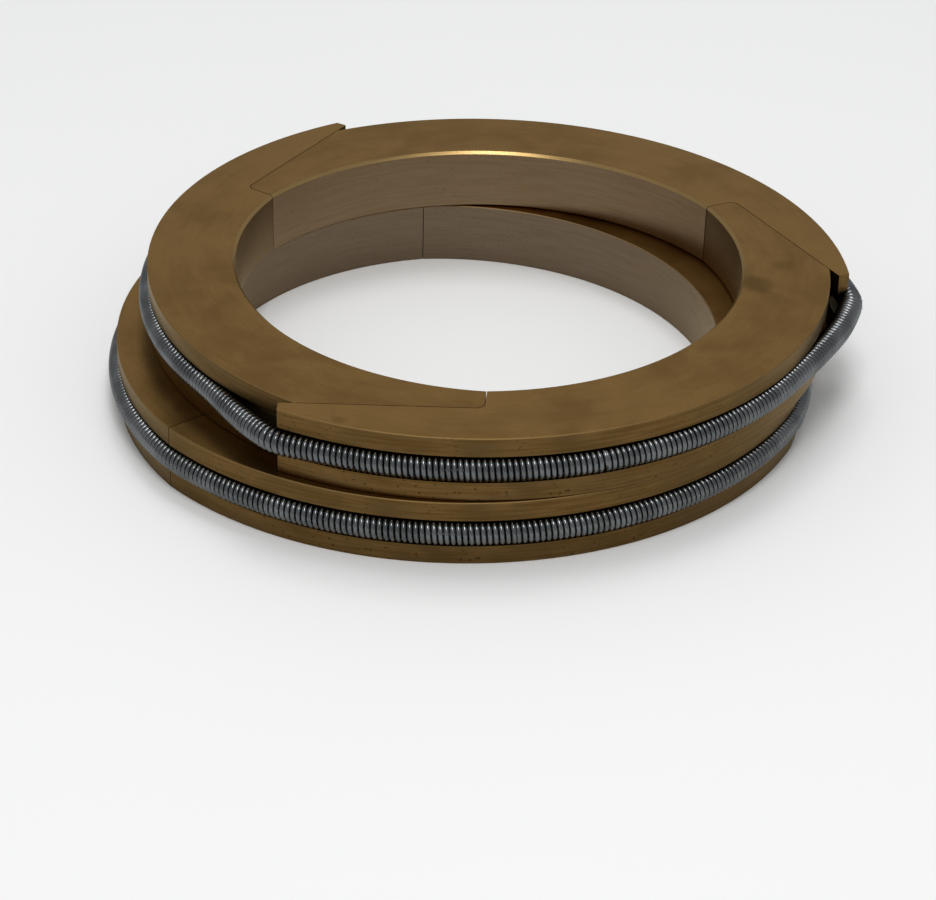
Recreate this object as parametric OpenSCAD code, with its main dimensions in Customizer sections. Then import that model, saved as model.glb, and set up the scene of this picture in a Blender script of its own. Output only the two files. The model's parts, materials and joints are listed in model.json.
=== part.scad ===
// Rod packing ring set: a radial-cut ring below and a tangent-cut ring above, each of three
// bronze segments drawn together by a garter spring, and kept in step by one dowel pin.
// Modelled in the free state, off the rod, with the springs holding every cut closed.
// Origin on the axis of the radial ring at its lower face, +Z up, millimetres.

/* [Rings] */
// Diameter of the rod that the rings seal on
rod_d = 100; // [60:1:200]
// Radial thickness of both rings, from bore to outside
ring_t = 16; // [14:0.5:24]
// Width of one ring along the rod
ring_w = 12; // [9:0.5:20]
// Chamfer on the outside corners
rim_chamfer = 0.15; // [0.1:0.05:1]
// Clearance left in a closed cut
cut_gap = 0.15; // [0.05:0.05:0.4]
// Clearance between the faces of the two rings
face_gap = 0.05; // [0.02:0.01:0.2]

/* [Tangent ring] */
// Slide along each cut between the free state and the rod size
tangent_takeup = 6.9; // [3:0.1:9]
// Depth of the radial step of a cut, from the bore
tangent_step = 6; // [4:0.1:8]
// Radius where the step turns into the tangent face
step_fillet = 1.6; // [0.5:0.1:2.5]
// Lean of the step from the radial direction, in degrees
step_lean = 3; // [0:0.5:6]
// Length taken off the thin end of each segment
tip_trim = 4; // [2:0.1:6]
// Chamfer on its bore corners
tangent_chamfer = 0.5; // [0.05:0.05:1]

/* [Radial ring] */
// Width of each radial cut at the rod size
radial_takeup = 5.6; // [2:0.1:8]
// Direction of the first radial cut, in degrees
radial_turn = 100; // [90:1:115]
// Chamfer on its bore corners
radial_chamfer = 0.15; // [0.05:0.05:1]

/* [Garter springs] */
// Outside diameter of the spring coil
spring_d = 4.5; // [3:0.1:5.5]
// Height that a spring stands proud of its ring
spring_stand = 1.75; // [0.5:0.05:2.2]
// Clearance round a spring in its groove
groove_gap = 0.25; // [0.1:0.05:0.5]
// Radius of the spring's bend at the edge of a cut
spring_bend = 8; // [5:0.5:12]

/* [Dowel pin] */
// Diameter of the pin
pin_d = 4; // [2:0.5:5]
// Length of the pin
pin_l = 14; // [8:0.5:16]
// Depth of the pin in the radial ring
pin_seat = 7.5; // [4:0.5:8]
// Distance of the pin's axis from the bore
pin_inset = 8.5; // [6:0.1:10]
// Direction of the pin in its radial segment, in degrees
pin_turn = 290.7; // [275:0.1:300]
// Clearance round the pin in the tangent ring
pin_gap = 0.2; // [0.1:0.05:0.5]

/* [Free state] */
// Swing of the tangent ring about the pin, in degrees
ring_swing = -2.2; // [-8:0.1:8]
// Direction of the tangent ring's first bore cut, in degrees
tangent_turn = 270; // [265:1:275]

/* [Hidden] */
$fn = 128;
segments = 3;
pitch = 360/segments;
bronze = [0.60, 0.45, 0.25];
spring_grey = [0.55, 0.56, 0.57];
pin_steel = [0.70, 0.70, 0.71];

// Radii shared by both rings, about a segment's own centre
bore_r = rod_d/2;
rim_r = bore_r + ring_t;
spring_r = spring_d/2;
coil_r = rim_r + spring_stand - spring_r;
bend_r = coil_r - spring_bend;
groove_r = spring_r + groove_gap;
reach = 2*rim_r;
tube_sides = 12;
arc_steps = 26;
bend_steps = 4;
step_nip = 0.02;

// A unit vector in the plane, and the direction of a vector
function along(a) = [cos(a), sin(a)];
function bearing(v) = atan2(v[1], v[0]);

// How far each segment's own centre stands from its ring's centre in the free state:
// the takeup of one cut, shared by the two segments that meet there
radial_shift = radial_takeup/(2*sin(pitch/2));
tangent_shift = tangent_takeup/(2*sin(pitch/2));

// Radial ring: own centres, front segment first; each has drawn in towards the middle
radial_mid = [for (k = [0 : segments - 1]) radial_turn + pitch*1.5 + pitch*k];
radial_centre = [for (a = radial_mid) -radial_shift*along(a)];

// Dowel pin, held in the front radial segment
pin_at = radial_centre[0] + (bore_r + pin_inset)*along(pin_turn);
pin_bottom = ring_w - pin_seat;

// Tangent ring: the front segment turns about the pin, and its ring's centre follows
tangent_ring_z = ring_w + face_gap;
from_pin = radial_centre[0] - pin_at;
front_centre = pin_at + norm(from_pin)*along(bearing(from_pin) + ring_swing);
tangent_centre = front_centre - tangent_shift*along(tangent_turn - pitch);
tangent_own = [for (k = [0 : segments - 1]) tangent_shift*along(tangent_turn - pitch + pitch*k)];
down = 270;
tangent_twist = tangent_turn - down;

// One tangent cut, in a frame with the bore cut pointing down: the tangent face lies cut_y below
// the ring's centre, and the tip of the segment beyond it ends tip_x to the left
face_r = bore_r + tangent_step;
cut_y = face_r - tangent_shift*cos(pitch/2);
tip_own_x = sqrt(rim_r*rim_r - face_r*face_r) - tip_trim;
tip_x = tip_own_x + tangent_takeup/2;

// The tangent spring leaves a tip at tip_angle, bends, runs straight and lands on the tail of
// the next segment where the line's normal points along land_angle
tip_lead = spring_bend*tan(pitch/10);
tip_angle = down - asin((tip_own_x - tip_lead)/coil_r);
front_own = tangent_shift*along(down - pitch);
left_own = tangent_shift*along(down - 2*pitch);
bend_at = front_own + bend_r*along(tip_angle);
bend_offset = bend_at - left_own;
land_angle = bearing(bend_offset) + 360 - acos(bend_r/norm(bend_offset));

// The radial spring bends a little at each cut, by radial_bend to each side
radial_bend = asin(radial_takeup/2/bend_r);
radial_bend_at = sqrt(pow(bend_r, 2) - pow(radial_takeup/2, 2)) - radial_shift*cos(pitch/2);

// Outline of a ring's section, chamfered at its four corners
module section(bore_chamfer) {
    polygon([
        [bore_r + bore_chamfer, 0], [rim_r - rim_chamfer, 0],
        [rim_r, rim_chamfer], [rim_r, ring_w - rim_chamfer],
        [rim_r - rim_chamfer, ring_w], [bore_r + bore_chamfer, ring_w],
        [bore_r, ring_w - bore_chamfer], [bore_r, bore_chamfer],
    ]);
}

// Spring groove, round at the bottom and open to the outside
module groove() {
    translate([coil_r, ring_w/2]) circle(groove_r);
    translate([coil_r, ring_w/2 - groove_r]) square([rim_r, 2*groove_r]);
}

// A whole ring about one segment's own centre
module whole_ring(centre, bore_chamfer) {
    translate(centre) rotate_extrude() difference() {
        section(bore_chamfer);
        groove();
    }
}

// Plan of the wedge between two closed radial cuts, about its middle direction
module radial_plan() {
    half = pitch/2;
    root = cut_gap/2/sin(half);
    polygon([[root, 0], root*[1, 0] + reach*along(-half), [2*reach, 0], root*[1, 0] + reach*along(half)]);
}

// One radial segment: its own ring, cut to the wedge
module radial_segment(k) {
    color(bronze) difference() {
        intersection() {
            whole_ring(radial_centre[k], radial_chamfer);
            rotate(radial_mid[k]) translate([0, 0, -ring_w]) linear_extrude(3*ring_w) radial_plan();
        }
        if (k == 0) pin_bore(pin_bottom, pin_l, pin_d);
    }
}

// The inner side of one tangent cut, in that cut's frame: left of the leaning step and above the
// tangent face, with the corner between them rounded; gap moves both faces out, and the step meets
// the round just inside it
module inner_side(gap) {
    r = step_fillet + gap;
    corner = [-step_fillet*(1 - sin(step_lean))/cos(step_lean), step_fillet - cut_y];
    translate(corner) {
        circle(r);
        translate([-reach, -r]) square([reach, reach]);
        rotate(-step_lean) translate([-reach, 0]) square([reach + r - step_nip, reach]);
    }
}

// Plan of one tangent segment: it takes in the outer side of its own cut, as far as its tip,
// and the inner side of the next cut
module tangent_plan() {
    difference() {
        rotate(pitch) inner_side(-cut_gap/2);
        inner_side(cut_gap/2);
        translate([-tip_x - reach, -reach]) square(reach);
    }
}

// One tangent segment: its own ring, cut to the plan
module tangent_segment(k) {
    color(bronze) difference() {
        translate([tangent_centre[0], tangent_centre[1], tangent_ring_z]) intersection() {
            whole_ring(tangent_own[k], tangent_chamfer);
            rotate(tangent_twist + pitch*k) translate([0, 0, -ring_w])
                linear_extrude(3*ring_w) tangent_plan();
        }
        if (k == 0) pin_bore(pin_bottom, pin_l + pin_gap, pin_d + 2*pin_gap);
    }
}

// Hole for the pin, from height z up
module pin_bore(z, depth, d) {
    translate([pin_at[0], pin_at[1], z]) cylinder(h = depth, d = d);
}

// A point turned about the ring's centre
function turned(p, a) = [p[0]*cos(a) - p[1]*sin(a), p[0]*sin(a) + p[1]*cos(a)];

// Stretch of a spring's centre line about a centre, from angle a to angle b: [x, y, normal];
// its last point is left out where the next stretch starts there
function bend_points(centre, r, a, b, steps, last = 0) = [
    for (i = [0 : steps - 1 + last])
        let (t = a + (b - a)*i/steps, p = centre + r*along(t)) [p[0], p[1], t]
];

// The radial spring lies round each segment and bends over the corners of each cut
function radial_path(k) = let (cut = radial_mid[k] + pitch/2) concat(
    bend_points(radial_centre[k], coil_r, cut - pitch + radial_bend, cut - radial_bend, arc_steps),
    bend_points(radial_bend_at*along(cut), spring_bend, cut - radial_bend, cut + radial_bend, bend_steps)
);

// The tangent spring lies round a segment, then bends over the tip of the next: both stretches
// are laid in the first cut's frame and turned to their place, and a straight run joins them
function turned_points(points, a) = [for (p = points) concat(turned(p, a), p[2] + a)];
function tangent_path(k) = let (turn = tangent_twist + pitch*k) concat(
    turned_points(bend_points(front_own, coil_r, tip_angle, land_angle + pitch, arc_steps, 1), turn),
    turned_points(bend_points(bend_at, spring_bend, land_angle, tip_angle, bend_steps), turn + pitch)
);

// Closed round tube along a loop of centre line points, each ring square to the line
module spring_tube(path) {
    rings = len(path);
    points = [
        for (p = path, j = [0 : tube_sides - 1])
            let (t = 360*j/tube_sides, out = spring_r*cos(t))
            [p[0] + out*cos(p[2]), p[1] + out*sin(p[2]), spring_r*sin(t)]
    ];
    faces = [
        for (i = [0 : rings - 1], j = [0 : tube_sides - 1])
            let (m = (i + 1) % rings, n = (j + 1) % tube_sides)
            [i*tube_sides + j, i*tube_sides + n, m*tube_sides + n, m*tube_sides + j]
    ];
    polyhedron(points, faces, convexity = 4);
}

module radial_garter_spring() {
    path = [for (k = [0 : segments - 1]) each radial_path(k)];
    color(spring_grey) translate([0, 0, ring_w/2]) spring_tube(path);
}

module tangent_garter_spring() {
    path = [for (k = [0 : segments - 1]) each tangent_path(k)];
    color(spring_grey)
        translate([tangent_centre[0], tangent_centre[1], tangent_ring_z + ring_w/2]) spring_tube(path);
}

module dowel_pin() {
    color(pin_steel) translate([pin_at[0], pin_at[1], pin_bottom]) cylinder(h = pin_l, d = pin_d);
}

radial_segment(0);  // radial_segment_front
radial_segment(1);  // radial_segment_right
radial_segment(2);  // radial_segment_left
tangent_segment(0);  // tangent_segment_front
tangent_segment(1);  // tangent_segment_rear
tangent_segment(2);  // tangent_segment_left
radial_garter_spring();
tangent_garter_spring();
dowel_pin();
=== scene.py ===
"""Dresses a packed set of rod packing rings: lapped bronze segments, wound garter springs, a dowel
pin and a pale studio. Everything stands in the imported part's own frame, in metres."""

import bisect
import json
import math

import bmesh
import bpy
from bpy.props import FloatProperty, FloatVectorProperty, IntProperty, PointerProperty
from mathutils import Matrix, Vector

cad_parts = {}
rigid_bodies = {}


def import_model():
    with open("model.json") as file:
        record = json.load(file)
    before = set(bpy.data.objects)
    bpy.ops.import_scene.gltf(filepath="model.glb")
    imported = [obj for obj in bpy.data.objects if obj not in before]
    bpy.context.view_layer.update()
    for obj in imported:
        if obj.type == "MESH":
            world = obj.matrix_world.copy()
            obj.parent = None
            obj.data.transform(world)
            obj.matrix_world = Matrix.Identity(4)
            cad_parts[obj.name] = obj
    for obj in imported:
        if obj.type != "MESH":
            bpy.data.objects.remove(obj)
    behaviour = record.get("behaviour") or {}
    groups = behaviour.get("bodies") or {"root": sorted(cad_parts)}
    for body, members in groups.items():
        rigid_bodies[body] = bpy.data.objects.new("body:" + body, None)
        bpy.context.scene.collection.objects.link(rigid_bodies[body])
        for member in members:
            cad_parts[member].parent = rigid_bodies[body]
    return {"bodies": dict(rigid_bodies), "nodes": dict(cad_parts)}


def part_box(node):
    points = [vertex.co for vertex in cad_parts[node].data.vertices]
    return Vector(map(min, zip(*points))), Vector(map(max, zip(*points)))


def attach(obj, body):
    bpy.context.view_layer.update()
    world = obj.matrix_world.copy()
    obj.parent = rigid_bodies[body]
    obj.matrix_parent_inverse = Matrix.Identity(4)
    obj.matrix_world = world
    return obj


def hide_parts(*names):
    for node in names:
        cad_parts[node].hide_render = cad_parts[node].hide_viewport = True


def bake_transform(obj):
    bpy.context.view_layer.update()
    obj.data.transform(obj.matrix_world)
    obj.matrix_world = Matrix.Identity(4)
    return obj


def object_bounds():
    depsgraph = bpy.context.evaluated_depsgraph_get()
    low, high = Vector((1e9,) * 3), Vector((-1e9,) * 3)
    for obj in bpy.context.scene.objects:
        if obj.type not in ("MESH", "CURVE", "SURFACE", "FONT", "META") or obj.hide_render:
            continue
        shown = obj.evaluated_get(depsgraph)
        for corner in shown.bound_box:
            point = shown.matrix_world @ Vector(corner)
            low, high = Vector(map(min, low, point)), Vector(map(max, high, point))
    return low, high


bl_info = {
    "name": "Rod packing rings",
    "version": (1, 0, 0),
    "blender": (4, 5, 0),
    "location": "3D View > Sidebar > Packing",
    "description": "Finishes for a radial-cut and a tangent-cut packing ring with garter springs",
    "category": "Object",
}

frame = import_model()
CAD_LOW, CAD_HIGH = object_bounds()

RADIAL_SEGMENTS = ("radial_segment_front", "radial_segment_right", "radial_segment_left")
TANGENT_SEGMENTS = ("tangent_segment_front", "tangent_segment_rear", "tangent_segment_left")
SEGMENTS = 3
CUT_PITCH = 2 * math.pi / SEGMENTS
DOWN = 1.5 * math.pi
TIP_LEAD_TURN = CUT_PITCH / 10
LINE_STEP = 0.0004

# A coil is doubled up from one of these equal runs, so their number is a power of two.
COIL_RUNS = 32

# Half of the turn over which a spring gives at a radial cut.
RADIAL_GIVE = math.radians(22)

# Where a spring gives at a tangent cut: shares of the way from one segment to the next one's tip.
TANGENT_GIVE = (0.35, 1.1)

# Height, reach and lead before the tip of the spring's bow at each tangent cut.
SPRING_BOWS = (
    (0.0021, 0.024, 0.011),
    (0.0016, 0.020, 0.009),
    (0.0013, 0.018, 0.008),
)

# X and Y in the front tangent segment's own frame, size and depth of each stain.
OIL_STAINS = (
    (0.0269, 0.0462, 0.0046, 0.55),
    (0.0222, 0.0538, 0.0032, 0.36),
    (0.0497, -0.0410, 0.0022, 0.35),
)

# Offsets between which one surface of a segment fades into the next.
BORE_FADE = (0.0004, 0.0012)
RIM_FADE = (-0.0008, -0.0003)
GROOVE_FADE = (-0.0010, -0.0004)
GROOVE_SIDE_FADE = (0.0, 0.0005)
LOW_LAND_FADE = (0.0032, 0.0040)
OUTER_START = 0.006
OUTER_END = 0.004
# Dark oil in the pits, and painted shade in the spring groove.
DARK_OIL_AND_SHADE = (0.030, 0.019, 0.009, 1.0)
BRONZE_SHEEN = (1.0, 0.92, 0.76, 1.0)
TOOL_LINE_DEPTH = 0.000028
WIRE_GRAIN_DEPTH = 0.000012
PIN_LINE_DEPTH = 0.00001

FLOOR_HALF = 4.0
AIR_COLOUR = (0.97, 0.985, 1.0, 1.0)
AIR_STRENGTH = 0.52

# Name, place, size and power of each light.
PANELS = (
    ("key_panel", (0.0, -0.38, 0.74), 0.24, 2.3),
    ("top_panel", (0.06, 0.32, 1.1), 0.5, 3.2),
)

# The picture's width, the focal length and the aim are in pixels.
PICTURE_WIDE = 936.0
FOCAL = 2670.7
SENSOR_WIDE = 36.0
CAMERA_TARGET = Vector((0.0050045, 0.0019456, CAD_HIGH.z))
CAMERA_DISTANCE = 0.49117
CAMERA_RISE = math.radians(27.303)
CAMERA_AIM = (15.26, -191.66)
CAMERA_ROLL = math.radians(1.674)

RING_LOW, RING_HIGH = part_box(RADIAL_SEGMENTS[0])
UPPER_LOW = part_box(TANGENT_SEGMENTS[0])[0]
PIN_LOW, PIN_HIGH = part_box("dowel_pin")


class PackingSizes(bpy.types.PropertyGroup):
    """Sizes of the rings and springs that the finishes follow."""

    rod_d: FloatProperty(
        name="Rod diameter",
        description="Diameter of the rod that the rings seal on",
        default=0.100,
        unit="LENGTH",
    )
    ring_t: FloatProperty(
        name="Ring thickness",
        description="From bore to outside",
        default=0.016,
        unit="LENGTH",
    )
    ring_w: FloatProperty(
        name="Ring width",
        description="Width of one ring along the rod",
        default=RING_HIGH.z - RING_LOW.z,
        unit="LENGTH",
    )
    radial_takeup: FloatProperty(
        name="Radial takeup",
        description="Width of each radial cut at the rod size",
        default=0.0056,
        unit="LENGTH",
    )
    radial_turn: FloatProperty(
        name="Radial turn",
        description="Direction of the first radial cut",
        default=math.radians(100),
        subtype="ANGLE",
    )
    tangent_takeup: FloatProperty(
        name="Tangent takeup",
        description="Slide along each tangent cut up to the rod size",
        default=0.0069,
        unit="LENGTH",
    )
    tangent_step: FloatProperty(
        name="Tangent step",
        description="Depth of the radial step of a tangent cut",
        default=0.006,
        unit="LENGTH",
    )
    tip_trim: FloatProperty(
        name="Tip trim",
        description="Length taken off the thin end of a tangent segment",
        default=0.004,
        unit="LENGTH",
    )
    ring_swing: FloatProperty(
        name="Ring swing",
        description="Swing of the tangent ring about the pin",
        default=math.radians(-2.2),
        subtype="ANGLE",
    )
    spring_d: FloatProperty(
        name="Spring diameter",
        description="Outside diameter of a garter spring's coil",
        default=0.0045,
        unit="LENGTH",
    )
    spring_stand: FloatProperty(
        name="Spring stand",
        description="Height of a spring above the outside of its ring",
        default=0.00175,
        unit="LENGTH",
    )
    spring_bend: FloatProperty(
        name="Spring bend",
        description="Radius of the spring's bend at the edge of a cut",
        default=0.008,
        unit="LENGTH",
    )
    wire_d: FloatProperty(
        name="Wire diameter",
        description="Diameter of the spring wire",
        default=0.00094,
        unit="LENGTH",
    )
    coil_pitch: FloatProperty(
        name="Coil pitch",
        description="Advance of one turn of the wire",
        default=0.0010,
        precision=5,
        unit="LENGTH",
    )
    turn_steps: IntProperty(
        name="Steps in a turn",
        description="Steps in one turn of the wire",
        default=14,
        min=8,
    )
    wire_sides: IntProperty(
        name="Wire sides",
        description="Sides of the wire's section",
        default=6,
        min=5,
    )


class PackingColours(bpy.types.PropertyGroup):
    """Colours of the metals and the studio."""

    bronze: FloatVectorProperty(
        name="Bronze",
        description="Clean lapped bronze",
        default=(0.258, 0.146, 0.046),
        subtype="COLOR",
    )
    bronze_brown: FloatVectorProperty(
        name="Brown bronze",
        description="Bronze that has toned down in store",
        default=(0.194, 0.104, 0.030),
        subtype="COLOR",
    )
    stain: FloatVectorProperty(
        name="Stain",
        description="Dried oil on the bronze",
        default=(0.080, 0.037, 0.004),
        subtype="COLOR",
    )
    # Worn edge colour that also serves as a painted highlight along the chamfers.
    burnish_and_highlight: FloatVectorProperty(
        name="Burnish",
        description="Bronze rubbed bright along an edge",
        default=(0.34, 0.22, 0.085),
        subtype="COLOR",
    )
    # Painted shade: a darker copy of the bronze for the sides of the rings.
    turned: FloatVectorProperty(
        name="Turned bronze",
        description="The darker turned outside of the rings",
        default=(0.100, 0.062, 0.025),
        subtype="COLOR",
    )
    bore_bronze: FloatVectorProperty(
        name="Bore bronze",
        description="The dull bored inside of the rings",
        default=(0.228, 0.160, 0.096),
        subtype="COLOR",
    )
    spring_steel: FloatVectorProperty(
        name="Spring steel",
        description="Drawn spring wire",
        default=(0.172, 0.180, 0.183),
        subtype="COLOR",
    )
    pin_steel: FloatVectorProperty(
        name="Pin steel",
        description="Ground dowel steel",
        default=(0.58, 0.58, 0.59),
        subtype="COLOR",
    )
    floor: FloatVectorProperty(
        name="Floor",
        description="Studio floor",
        default=(0.90, 0.90, 0.89),
        subtype="COLOR",
    )


class Flow:
    """A shader socket that takes part in arithmetic. Each sum adds its Math node."""

    def __init__(self, finish, socket):
        self.finish = finish
        self.socket = socket

    def sums(self, operation, first, second=0.0):
        return self.finish.node("ShaderNodeMath", {"operation": operation}, {0: first, 1: second})

    def __add__(self, other):
        return self.sums("ADD", self, other)

    def __radd__(self, other):
        return self.sums("ADD", other, self)

    def __sub__(self, other):
        return self.sums("SUBTRACT", self, other)

    def __rsub__(self, other):
        return self.sums("SUBTRACT", other, self)

    def __mul__(self, other):
        return self.sums("MULTIPLY", self, other)

    def __rmul__(self, other):
        return self.sums("MULTIPLY", other, self)

    def __truediv__(self, other):
        return self.sums("DIVIDE", self, other)

    def __pow__(self, other):
        return self.sums("POWER", self, other)

    def __abs__(self):
        return self.sums("ABSOLUTE", self)


class Finish:
    """One procedural material and the nodes that it is made of."""

    def __init__(self, name):
        self.material = bpy.data.materials.new(name)
        self.material.use_nodes = True
        self.tree = self.material.node_tree
        self.shader = self.tree.nodes["Principled BSDF"]

    def node(self, kind, settings=None, sockets=None, out=0):
        """Adds a node: its settings first, then the values or links of its sockets."""
        made = self.tree.nodes.new(kind)
        for key, value in (settings or {}).items():
            setattr(made, key, value)
        for key, value in (sockets or {}).items():
            self.feed(made.inputs[key], value)
        return Flow(self, made.outputs[out])

    def feed(self, socket, value):
        if isinstance(value, Flow):
            self.tree.links.new(value.socket, socket)
        else:
            socket.default_value = value

    def surface(self, **sockets):
        """Sets or links the shader's own sockets."""
        for key, value in sockets.items():
            self.feed(self.shader.inputs[key.replace("_", " ")], value)

    def place(self, centre=(0.0, 0.0, 0.0), turn=0.0):
        """Object coordinates from a centre, with X along a direction in the plane."""
        whole = self.node("ShaderNodeTexCoord", out="Object")
        sockets = {"Vector": whole, "Location": centre, "Rotation": (0.0, 0.0, turn)}
        return self.node("ShaderNodeMapping", {"vector_type": "TEXTURE"}, sockets)

    def split(self, vector):
        made = self.node("ShaderNodeSeparateXYZ", None, {0: vector})
        outputs = made.socket.node.outputs
        return [Flow(self, outputs[k]) for k in range(3)]

    def joined(self, x, y, z):
        return self.node("ShaderNodeCombineXYZ", None, {0: x, 1: y, 2: z})

    def facing(self):
        """The surface's own direction, split in three."""
        return self.split(self.node("ShaderNodeNewGeometry", out="Normal"))

    def ramp(self, value, low, high, start=0.0, end=1.0):
        sockets = {0: value, 1: low, 2: high, 3: start, 4: end}
        return self.node("ShaderNodeMapRange", {"interpolation_type": "SMOOTHSTEP"}, sockets)

    def fade(self, value, start, offsets):
        """A ramp between two offsets from a start."""
        return self.ramp(value, start + offsets[0], start + offsets[1])

    def cloud(self, vector, scale, detail=2.0, roughness=0.5, distortion=0.0):
        sockets = {
            "Vector": vector,
            "Scale": scale,
            "Detail": detail,
            "Roughness": roughness,
            "Distortion": distortion,
        }
        return self.node("ShaderNodeTexNoise", {"noise_dimensions": "3D"}, sockets)

    def specks(self, vector, scale):
        """Distance to the nearest of a scatter of points."""
        settings = {"feature": "F1", "voronoi_dimensions": "3D"}
        return self.node("ShaderNodeTexVoronoi", settings, {"Vector": vector, "Scale": scale})

    def mixed(self, factor, first, second):
        settings = {"data_type": "RGBA"}
        return self.node("ShaderNodeMix", settings, {0: factor, 6: first, 7: second}, out=2)

    def bump(self, height, distance, strength):
        sockets = {"Height": height, "Distance": distance, "Strength": strength}
        return self.node("ShaderNodeBump", None, sockets)


def along(angle):
    """A unit vector in the plane."""
    return Vector((math.cos(angle), math.sin(angle)))


def bearing(vector):
    return math.atan2(vector.y, vector.x)


def turned(points, angle):
    """Centre line points turned about the ring's centre."""
    spin = Matrix.Rotation(angle, 2)
    return [(spin @ point, normal + angle) for point, normal in points]


def moved(points, offset):
    return [(point + offset, normal) for point, normal in points]


def arc(centre, radius, start, end):
    """Points of an arc, each with the direction that the line's outside faces."""
    steps = max(2, math.ceil(abs(end - start) * radius / LINE_STEP))
    angles = [start + (end - start) * i / steps for i in range(steps + 1)]
    return [(centre + radius * along(a), a) for a in angles]


def straight(start, end):
    """Points on the way from one point of a centre line to the next."""
    (p, a), (q, b) = start, end
    steps = max(2, math.ceil((q - p).length / LINE_STEP))
    shares = [i / steps for i in range(1, steps)]
    return [(p.lerp(q, share), a + (b - a) * share) for share in shares]


def eased(share):
    """A share from 0 to 1 with soft ends."""
    share = min(max(share, 0.0), 1.0)
    return share * share * (3 - 2 * share)


class CentreLine:
    """A garter spring's centre line, once round from the middle of the front segment. Its spans are
    the stretches over the cuts, of which the back one gives as its cut opens."""

    def __init__(self, stretches, height):
        self.height = height
        self.spans = []
        self.points = []
        self.lengths = []
        self.marks = []
        for stretch in stretches:
            for point in stretch:
                self.add(point)
            self.marks.append(self.lengths[-1])

    def add(self, point):
        run = 0.0
        if self.points:
            run = self.lengths[-1] + (point[0] - self.points[-1][0]).length
        self.points.append(point)
        self.lengths.append(run)

    def at(self, length):
        """The point at a length along the line, and the direction of its outside."""
        i = bisect.bisect_right(self.lengths, length)
        i = min(max(i, 1), len(self.points) - 1)
        while self.lengths[i] - self.lengths[i - 1] < 1e-9:
            i += 1
        share = (length - self.lengths[i - 1]) / (self.lengths[i] - self.lengths[i - 1])
        (p, a), (q, b) = self.points[i - 1], self.points[i]
        return p.lerp(q, share), a + (b - a) * share

    def bow(self, middle, height, reach):
        """Bows the line outwards about a length along it."""
        for i, (point, normal) in enumerate(self.points):
            lift = height * eased(1 - abs(self.lengths[i] - middle) / reach)
            self.points[i] = (point + lift * along(normal), normal)

    def spot(self, length):
        """The point at a length along the line, in the part's frame."""
        point = self.at(length)[0]
        return Vector((point.x, point.y, self.height))


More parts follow.
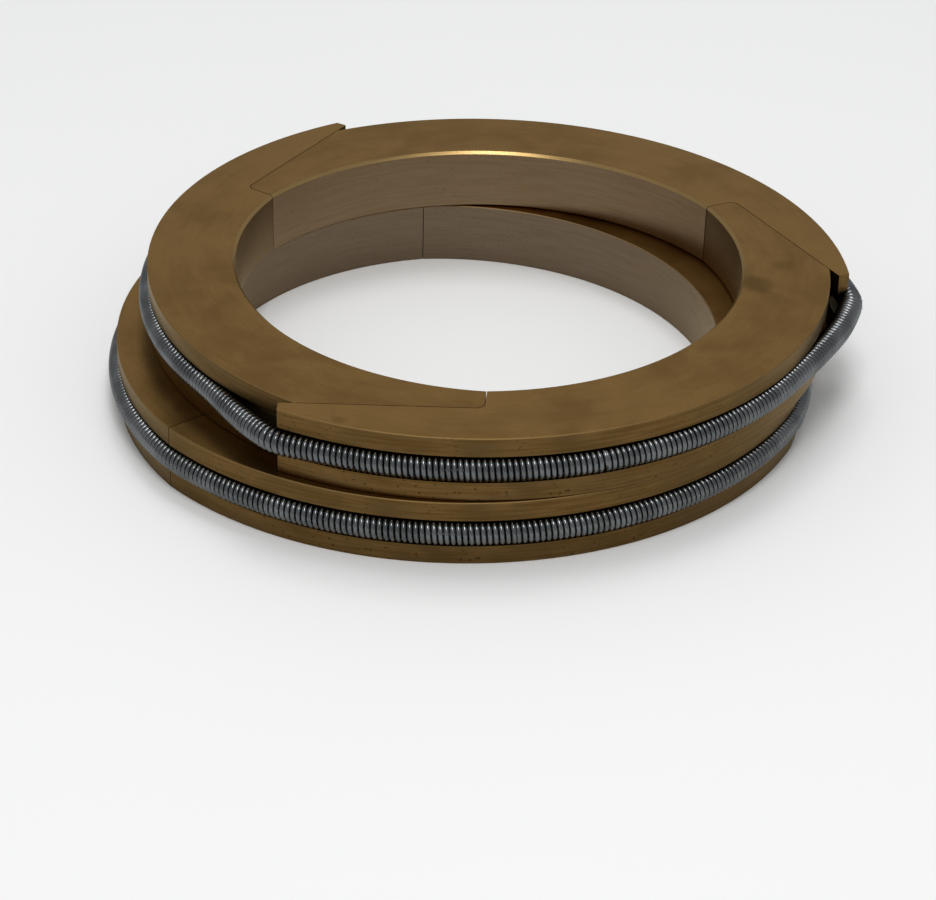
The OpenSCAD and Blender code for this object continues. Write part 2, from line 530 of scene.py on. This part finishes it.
class RingLayout:
    """Where the segments and springs of both rings lie, worked out from the sizes."""

    def __init__(self, sizes):
        half = CUT_PITCH / 2
        self.bore_r = sizes.rod_d / 2
        self.rim_r = self.bore_r + sizes.ring_t
        self.coil_r = self.rim_r + sizes.spring_stand - sizes.spring_d / 2
        self.spring_r = sizes.spring_d / 2
        self.half_w = sizes.ring_w / 2
        self.bend = sizes.spring_bend
        self.bend_r = self.coil_r - self.bend
        self.radial_shift = sizes.radial_takeup / (2 * math.sin(half))
        self.tangent_shift = sizes.tangent_takeup / (2 * math.sin(half))
        first = sizes.radial_turn + 1.5 * CUT_PITCH
        self.radial_mid = [first + CUT_PITCH * k for k in range(SEGMENTS)]
        self.radial_centre = [-self.radial_shift * along(a) for a in self.radial_mid]
        self.place_tangent_ring(sizes)
        self.radial_height = RING_LOW.z + self.half_w
        self.tangent_height = UPPER_LOW.z + self.half_w

    def place_tangent_ring(self, sizes):
        """The front tangent segment hangs on the pin, and its ring's centre follows."""
        pin = (PIN_LOW + PIN_HIGH).to_2d() / 2
        arm = self.radial_centre[0] - pin
        front = pin + arm.length * along(bearing(arm) + sizes.ring_swing)
        self.tangent_middle = front - self.tangent_shift * along(DOWN - CUT_PITCH)
        own = [DOWN - CUT_PITCH + CUT_PITCH * k for k in range(SEGMENTS)]
        self.tangent_centre = [self.tangent_middle + self.tangent_shift * along(a) for a in own]
        face_r = self.bore_r + sizes.tangent_step
        tip_own_x = math.sqrt(self.rim_r**2 - face_r**2) - sizes.tip_trim
        tip_lead = self.bend * math.tan(TIP_LEAD_TURN)
        self.tip = DOWN - math.asin((tip_own_x - tip_lead) / self.coil_r)
        self.front_own = self.tangent_shift * along(DOWN - CUT_PITCH)
        self.bend_at = self.front_own + self.bend_r * along(self.tip)
        offset = self.bend_at - self.tangent_shift * along(DOWN - 2 * CUT_PITCH)
        self.land = bearing(offset) + 2 * math.pi - math.acos(self.bend_r / offset.length)
        first = (self.tip + self.land + CUT_PITCH) / 2
        self.tangent_mid = [first + CUT_PITCH * k for k in range(SEGMENTS)]

    def radial_line(self, sizes):
        """Round each radial segment, with a small bend over each cut."""
        give = math.asin(sizes.radial_takeup / 2 / self.bend_r)
        out = math.sqrt(self.bend_r**2 - (sizes.radial_takeup / 2) ** 2)
        out -= self.radial_shift * math.cos(CUT_PITCH / 2)
        cuts = [a + CUT_PITCH / 2 for a in self.radial_mid]
        start = self.radial_mid[0]
        stretches = []
        for k, cut in enumerate(cuts):
            stretches.append(arc(self.radial_centre[k], self.coil_r, start, cut - give))
            stretches.append(arc(out * along(cut), self.bend, cut - give, cut + give))
            start = cut + give
        end = self.radial_mid[0] + 2 * math.pi
        stretches.append(arc(self.radial_centre[0], self.coil_r, start, end))
        line = CentreLine(stretches, self.radial_height)
        over = RADIAL_GIVE * self.coil_r
        for k in range(SEGMENTS):
            cut = (line.marks[2 * k] + line.marks[2 * k + 1]) / 2
            line.spans.append((cut - over, cut + over))
        return line

    def tangent_line(self):
        """Round each tangent segment, off its tail, straight on and over the next one's tip."""
        tail = self.land + CUT_PITCH
        start = self.tangent_mid[0]
        stretches = []
        for k in range(SEGMENTS):
            ring = turned(arc(self.front_own, self.coil_r, start, tail), CUT_PITCH * k)
            over = turned(arc(self.bend_at, self.bend, self.land, self.tip), CUT_PITCH * (k + 1))
            stretches += [ring, straight(ring[-1], over[0]) + over]
            start = self.tip
        last = arc(self.front_own, self.coil_r, self.tip, self.tangent_mid[0])
        stretches.append(turned(last, 2 * math.pi))
        stretches = [moved(stretch, self.tangent_middle) for stretch in stretches]
        line = CentreLine(stretches, self.tangent_height)
        for k, (height, reach, lead) in enumerate(SPRING_BOWS):
            land, tip = line.marks[2 * k : 2 * k + 2]
            line.spans.append(tuple(land + share * (tip - land) for share in TANGENT_GIVE))
            line.bow(tip - lead, height, reach)
        return line


def straight_coil(sizes, start, length):
    """A bmesh of wire wound round X, from a start along X, as one closed body."""
    mesh = bmesh.new()
    radius = (sizes.spring_d - sizes.wire_d) / 2
    wire_r = sizes.wire_d / 2
    ring = bmesh.ops.create_circle(mesh, segments=sizes.wire_sides, radius=wire_r)["verts"]
    bmesh.ops.translate(mesh, vec=(start, radius, 0.0), verts=ring)
    twist(mesh, ring, start / sizes.coil_pitch)
    run = length / COIL_RUNS
    turns = run / sizes.coil_pitch
    steps = round(turns * sizes.turn_steps)
    bmesh.ops.spin(
        mesh,
        geom=mesh.verts[:] + mesh.edges[:],
        cent=(0, 0, 0),
        axis=(1, 0, 0),
        dvec=(run / steps, 0, 0),
        angle=2 * math.pi * turns,
        steps=steps,
    )
    runs = 1
    while runs < COIL_RUNS:
        whole = mesh.verts[:] + mesh.edges[:] + mesh.faces[:]
        copy = bmesh.ops.duplicate(mesh, geom=whole)["geom"]
        verts = [item for item in copy if isinstance(item, bmesh.types.BMVert)]
        bmesh.ops.translate(mesh, vec=(runs * run, 0.0, 0.0), verts=verts)
        twist(mesh, verts, runs * turns)
        runs *= 2
    bmesh.ops.remove_doubles(mesh, verts=mesh.verts[:], dist=sizes.wire_d / 100)
    ends = [edge for edge in mesh.edges if edge.is_boundary]
    bmesh.ops.holes_fill(mesh, edges=ends, sides=0)
    bmesh.ops.recalc_face_normals(mesh, faces=mesh.faces[:])
    return mesh


def twist(mesh, verts, turns):
    """Turns part of a coil about X."""
    spin = Matrix.Rotation(2 * math.pi * turns, 3, "X")
    bmesh.ops.rotate(mesh, cent=(0, 0, 0), matrix=spin, verts=verts)


def lay_coil(mesh, line):
    """Bends a straight coil along a centre line."""
    for vert in mesh.verts:
        length, rise, out = vert.co
        point, normal = line.at(length)
        flat = point + out * along(normal)
        vert.co = (flat.x, flat.y, line.height + rise)


def wound_spring(name, line, sizes, start, end):
    """A coil laid along a stretch of a centre line."""
    mesh = straight_coil(sizes, start, end - start)
    lay_coil(mesh, line)
    return finished_piece(name, mesh)


def bridging_coil(name, line, sizes, start, end, body, drawn_by):
    """A coil over a cut with no joint of its own: it rides on one segment, and a hook draws its
    start after the other."""
    mesh = straight_coil(sizes, start, end - start)
    shares = [(end - vert.co.x) / (end - start) for vert in mesh.verts]
    lay_coil(mesh, line)
    piece = finished_piece(name, mesh)
    group = piece.vertex_groups.new(name="drawn")
    for i, share in enumerate(shares):
        group.add([i], eased(share), "REPLACE")
    hook = piece.modifiers.new("drawn", "HOOK")
    hook.object = frame["bodies"][drawn_by]
    hook.vertex_group = group.name
    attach(piece, body)
    return piece


def finished_piece(name, mesh):
    data = bpy.data.meshes.new(name)
    mesh.to_mesh(data)
    mesh.free()
    data.shade_smooth()
    piece = bpy.data.objects.new(name, data)
    bpy.context.scene.collection.objects.link(piece)
    return piece


def bronze_finish(name, colours, layout, centre, low, turn, grey=0.0, stains=()):
    """Turned and lapped bronze, toned brown, with tool lines round the ring's own centre, painted
    shade on its sides and in the spring groove, and burnished edges that carry a painted highlight.
    """
    finish = Finish(name)
    own = finish.place((centre.x, centre.y, low), turn)
    x, y, z = finish.split(own)
    radius = (x * x + y * y) ** 0.5
    around = finish.node("ShaderNodeMath", {"operation": "ARCTAN2"}, {0: y, 1: x})
    upright = abs(finish.facing()[2])

    # Where each surface lies: 1 on it and 0 off it.
    flat = finish.ramp(upright, 0.86, 0.97)
    edge = finish.ramp(upright, 0.25, 0.5) * (1 - finish.ramp(upright, 0.8, 0.95))
    side = 1 - flat
    bore = (1 - finish.fade(radius, layout.bore_r, BORE_FADE)) * side
    shell = finish.fade(radius, layout.rim_r, RIM_FADE)
    rim = shell * side
    cut = side * (1 - bore) * (1 - rim)
    off_middle = abs(z - layout.half_w)
    groove = finish.fade(radius, layout.coil_r - layout.spring_r, GROOVE_FADE) * (1 - shell)
    groove = groove * (1 - finish.fade(off_middle, layout.spring_r, GROOVE_SIDE_FADE))
    low_land = 1 - finish.ramp(z, *LOW_LAND_FADE)
    start, end = layout.bore_r + OUTER_START, layout.rim_r - OUTER_END
    outer = grey + (1 - grey) * finish.ramp(radius, start, end)

    # Tool lines, clouds and pits.
    tracks = finish.joined(around * 2.4, z * 1000.0, radius * 1000.0)
    coarse = finish.cloud(tracks, 2.0, 3.0, 0.6)
    fine = finish.cloud(tracks, 8.0, 2.0, 0.5)
    mottle = finish.cloud(own, 95.0, 4.0, 0.55, 0.6)
    patches = finish.cloud(own, 30.0, 2.0, 0.5, 0.4)
    drift = finish.joined(around * 5.0, z * 300.0, radius * 300.0)
    smear = finish.cloud(drift, 1.0, 3.0, 0.6, 0.5)
    grain = finish.cloud(own, 2600.0, 2.0, 0.6)
    dots = finish.specks(own, 900.0)
    pitted = (1 - finish.ramp(dots, 0.10, 0.24)) * finish.ramp(mottle, 0.46, 0.60)

    # Colour, from the clean metal up to the oil, with painted shade on the sides and in the spring
    # groove and a painted highlight along the edges.
    tone = finish.ramp(mottle * 0.4 + patches * 0.3 + smear * 0.3, 0.38, 0.62)
    colour = finish.mixed(tone, (*colours.bronze_brown, 1.0), (*colours.bronze, 1.0))
    # Painted shade: the sides take the darker turned colour, which stands in for the dimmer light
    # that they catch.
    colour = finish.mixed(side * (0.95 - 0.3 * tone), colour, (*colours.turned, 1.0))
    faded = 1.0 - 0.18 * grey
    cooled = 0.012 * grey
    dull = tuple(c * faded + cooled * k for k, c in enumerate(colours.bore_bronze))
    colour = finish.mixed(bore * (0.9 - 0.25 * smear), colour, (*dull, 1.0))
    streak = finish.ramp(coarse, 0.4, 0.62) * (0.07 + 0.40 * rim + 0.05 * bore + 0.25 * cut)
    colour = finish.mixed(streak, colour, (*colours.stain, 1.0))
    colour = finish.mixed(pitted * (0.25 + rim * (0.2 + 0.5 * low_land)), colour, DARK_OIL_AND_SHADE)
    for spot_x, spot_y, size, depth in stains:
        dx = x - spot_x
        dy = y - spot_y
        spread = (dx * dx + dy * dy) ** 0.5 / size + (mottle - 0.5) * 1.1
        stained = (1 - finish.ramp(spread, 0.35, 1.0)) * flat
        colour = finish.mixed(stained * depth, colour, (*colours.stain, 1.0))
    # Burnish and painted highlight: edges rubbed bright and lightened to stand for the light that
    # their chamfers catch.
    rubbed_and_highlit = edge * finish.ramp(coarse, 0.25, 0.6, 0.5, 1.0)
    rubbed_and_highlit = rubbed_and_highlit * (1 - 0.45 * outer) * (1 - groove)
    colour = finish.mixed(rubbed_and_highlit, colour, (*colours.burnish_and_highlight, 1.0))
    # Painted shade: the spring groove is darkened where the spring shades it.
    colour = finish.mixed(groove * 0.85, colour, DARK_OIL_AND_SHADE)

    # Roughness and relief.
    rough = 0.36 + (grain - 0.5) * 0.16 + (mottle - 0.5) * 0.14 + (coarse - 0.5) * 0.12
    rough = rough + edge * (0.30 * outer - 0.05)
    height = (coarse * 0.6 + fine * 0.4) * (1 - flat * 0.88 - bore * 0.6) + grain * 0.25
    finish.surface(
        Base_Color=colour,
        Metallic=1.0,
        Roughness=rough,
        Specular_Tint=BRONZE_SHEEN,
        Normal=finish.bump(height, TOOL_LINE_DEPTH, 0.55),
    )
    return finish.material


def wire_finish(name, colours):
    """Drawn spring wire, a little darker where oil has dried on it."""
    finish = Finish(name)
    place = finish.place()
    cloudy = finish.cloud(place, 160.0, 3.0, 0.55)
    grain = finish.cloud(place, 3200.0, 2.0, 0.6)
    shade = finish.ramp(cloudy, 0.35, 0.68)
    dark = tuple(0.62 * c for c in colours.spring_steel)
    colour = finish.mixed(shade, (*dark, 1.0), (*colours.spring_steel, 1.0))
    rough = 0.23 + (cloudy - 0.5) * 0.12 + (grain - 0.5) * 0.10
    finish.surface(
        Base_Color=colour,
        Metallic=1.0,
        Roughness=rough,
        Normal=finish.bump(grain, WIRE_GRAIN_DEPTH, 0.4),
    )
    return finish.material


def pin_finish(name, colours):
    """Ground dowel steel with fine lines round it."""
    finish = Finish(name)
    middle = (PIN_LOW + PIN_HIGH) / 2
    own = finish.place((middle.x, middle.y, 0.0))
    x, y, z = finish.split(own)
    lines = finish.cloud(finish.joined(x * 90.0, y * 90.0, z * 9000.0), 1.0, 2.0, 0.5)
    cloudy = finish.cloud(own, 400.0, 2.0, 0.5)
    dark = tuple(0.75 * c for c in colours.pin_steel)
    colour = finish.mixed(finish.ramp(cloudy, 0.35, 0.65), (*dark, 1.0), (*colours.pin_steel, 1.0))
    finish.surface(
        Base_Color=colour,
        Metallic=1.0,
        Roughness=0.24 + (lines - 0.5) * 0.2,
        Normal=finish.bump(lines, PIN_LINE_DEPTH, 0.5),
    )
    return finish.material


def dress(node, material):
    """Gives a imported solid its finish."""
    slots = frame["nodes"][node].data.materials
    slots.clear()
    slots.append(material)


class PACKING_OT_radial_ring(bpy.types.Operator):
    """Finishes the three segments of the radial-cut ring"""

    bl_idname = "packing.radial_ring"
    bl_label = "Finish radial ring"

    def execute(self, context):
        colours = context.scene.packing_colours
        layout = RingLayout(context.scene.packing_sizes)
        for k, node in enumerate(RADIAL_SEGMENTS):
            material = bronze_finish(
                node + "_bronze",
                colours,
                layout,
                layout.radial_centre[k],
                RING_LOW.z,
                layout.radial_mid[k],
                grey=1.0,
            )
            dress(node, material)
        return {"FINISHED"}


class PACKING_OT_tangent_ring(bpy.types.Operator):
    """Finishes the three segments of the tangent-cut ring"""

    bl_idname = "packing.tangent_ring"
    bl_label = "Finish tangent ring"

    def execute(self, context):
        colours = context.scene.packing_colours
        layout = RingLayout(context.scene.packing_sizes)
        for k, node in enumerate(TANGENT_SEGMENTS):
            material = bronze_finish(
                node + "_bronze",
                colours,
                layout,
                layout.tangent_centre[k],
                UPPER_LOW.z,
                layout.tangent_mid[k],
                stains=OIL_STAINS if k == 0 else (),
            )
            dress(node, material)
        return {"FINISHED"}


def wind_spring(context, ring, beyond, line):
    """Winds a ring's garter spring in three coils, of which only the back one gives over its cut.
    """
    sizes = context.scene.packing_sizes
    front, after, left = [ring + side for side in ("_front", beyond, "_left")]
    (a, b), (c, d), (e, f) = line.spans
    near = wound_spring(ring + "_spring_right", line, sizes, 0.0, c)
    line.spot(a)
    line.spot(b)
    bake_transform(near)
    back = bridging_coil(ring + "_spring_back", line, sizes, c, d, left, after)
    far = wound_spring(ring + "_spring_left", line, sizes, d, line.lengths[-1])
    line.spot(f)
    line.spot(e)
    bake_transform(far)
    steel = wire_finish(ring + "_spring_steel", context.scene.packing_colours)
    for piece in (near, back, far):
        piece.data.materials.append(steel)
        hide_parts(ring + "_garter_spring")


class PACKING_OT_radial_spring(bpy.types.Operator):
    """Winds the garter spring of the radial-cut ring"""

    bl_idname = "packing.radial_spring"
    bl_label = "Wind radial spring"

    def execute(self, context):
        sizes = context.scene.packing_sizes
        wind_spring(context, "radial", "_right", RingLayout(sizes).radial_line(sizes))
        return {"FINISHED"}


class PACKING_OT_tangent_spring(bpy.types.Operator):
    """Winds the garter spring of the tangent-cut ring"""

    bl_idname = "packing.tangent_spring"
    bl_label = "Wind tangent spring"

    def execute(self, context):
        sizes = context.scene.packing_sizes
        wind_spring(context, "tangent", "_rear", RingLayout(sizes).tangent_line())
        return {"FINISHED"}


class PACKING_OT_dowel_pin(bpy.types.Operator):
    """Finishes the dowel pin"""

    bl_idname = "packing.dowel_pin"
    bl_label = "Finish dowel pin"

    def execute(self, context):
        dress("dowel_pin", pin_finish("dowel_pin_steel", context.scene.packing_colours))
        return {"FINISHED"}


def camera_pose(target, distance, elevation, aim, focal, roll):
    """Camera matrix that puts a target at a place in the picture, in pixels from its middle."""
    back = Vector((0.0, -math.cos(elevation), math.sin(elevation)))
    ahead = -back
    right = Vector((1.0, 0.0, 0.0))
    up = right.cross(ahead)
    pan = math.atan(aim[0] / focal)
    tilt = math.atan(aim[1] / focal)
    level = ahead * math.cos(tilt) + up * math.sin(tilt)
    up = up * math.cos(tilt) - ahead * math.sin(tilt)
    ahead = level * math.cos(pan) - right * math.sin(pan)
    right = level * math.sin(pan) + right * math.cos(pan)
    side = right * math.cos(roll) + up * math.sin(roll)
    up = up * math.cos(roll) - right * math.sin(roll)
    pose = Matrix((side, up, -ahead)).transposed().to_4x4()
    pose.translation = target + distance * back
    return pose


class PACKING_OT_studio(bpy.types.Operator):
    """Sets a pale floor, soft light and the camera"""

    bl_idname = "packing.studio"
    bl_label = "Set studio"

    def execute(self, context):
        self.lay_floor(context)
        self.hang_lights(context)
        self.set_camera(context)
        return {"FINISHED"}

    def lay_floor(self, context):
        mesh = bmesh.new()
        bmesh.ops.create_grid(mesh, x_segments=1, y_segments=1, size=FLOOR_HALF)
        bmesh.ops.translate(mesh, vec=(0.0, 0.0, CAD_LOW.z), verts=mesh.verts[:])
        floor = finished_piece("studio_floor", mesh)
        finish = Finish("studio_floor")
        place = finish.place()
        soft = finish.cloud(place, 6.0, 2.0, 0.5)
        colour = context.scene.packing_colours.floor
        dull = tuple(0.97 * c for c in colour)
        finish.surface(
            Base_Color=finish.mixed(soft, (*dull, 1.0), (*colour, 1.0)),
            Roughness=0.65,
        )
        floor.data.materials.append(finish.material)

    def hang_lights(self, context):
        world = bpy.data.worlds.new("studio_air")
        world.use_nodes = True
        air = world.node_tree.nodes["Background"]
        air.inputs["Color"].default_value = AIR_COLOUR
        air.inputs["Strength"].default_value = AIR_STRENGTH
        context.scene.world = world
        for panel in PANELS:
            self.panel(*panel)

    def panel(self, name, spot, size, power):
        data = bpy.data.lights.new(name, "AREA")
        data.shape = "SQUARE"
        data.size = size
        data.energy = power
        lamp = bpy.data.objects.new(name, data)
        spot = Vector(spot)
        lamp.matrix_world = Matrix.LocRotScale(spot, (-spot).to_track_quat("-Z", "Y"), None)
        bpy.context.scene.collection.objects.link(lamp)

    def set_camera(self, context):
        data = bpy.data.cameras.new("camera")
        data.sensor_width = SENSOR_WIDE
        data.lens = SENSOR_WIDE * FOCAL / PICTURE_WIDE
        data.clip_start = 0.01
        data.clip_end = 20.0
        camera = bpy.data.objects.new("camera", data)
        camera.matrix_world = camera_pose(
            CAMERA_TARGET, CAMERA_DISTANCE, CAMERA_RISE, CAMERA_AIM, FOCAL, CAMERA_ROLL
        )
        context.scene.collection.objects.link(camera)
        context.scene.camera = camera
        context.scene.view_settings.view_transform = "Standard"


class PACKING_PT_sidebar(bpy.types.Panel):
    """Lists the finishes in the sidebar"""

    bl_idname = "PACKING_PT_sidebar"
    bl_label = "Rod packing rings"
    bl_space_type = "VIEW_3D"
    bl_region_type = "UI"
    bl_category = "Packing"

    def draw(self, context):
        for operator in OPERATORS:
            self.layout.operator(operator.bl_idname)
        for group in (context.scene.packing_sizes, context.scene.packing_colours):
            for key in group.__annotations__:
                self.layout.prop(group, key)


OPERATORS = (
    PACKING_OT_radial_ring,
    PACKING_OT_tangent_ring,
    PACKING_OT_radial_spring,
    PACKING_OT_tangent_spring,
    PACKING_OT_dowel_pin,
    PACKING_OT_studio,
)
CLASSES = (PackingSizes, PackingColours, *OPERATORS, PACKING_PT_sidebar)


def register():
    for kind in CLASSES:
        bpy.utils.register_class(kind)
    bpy.types.Scene.packing_sizes = PointerProperty(type=PackingSizes)
    bpy.types.Scene.packing_colours = PointerProperty(type=PackingColours)


def unregister():
    del bpy.types.Scene.packing_colours
    del bpy.types.Scene.packing_sizes
    for kind in reversed(CLASSES):
        bpy.utils.unregister_class(kind)


def main():
    register()
    bpy.ops.packing.radial_ring()
    bpy.ops.packing.tangent_ring()
    bpy.ops.packing.radial_spring()
    bpy.ops.packing.tangent_spring()
    bpy.ops.packing.dowel_pin()
    bpy.ops.packing.studio()


if __name__ == "__main__":
    main()
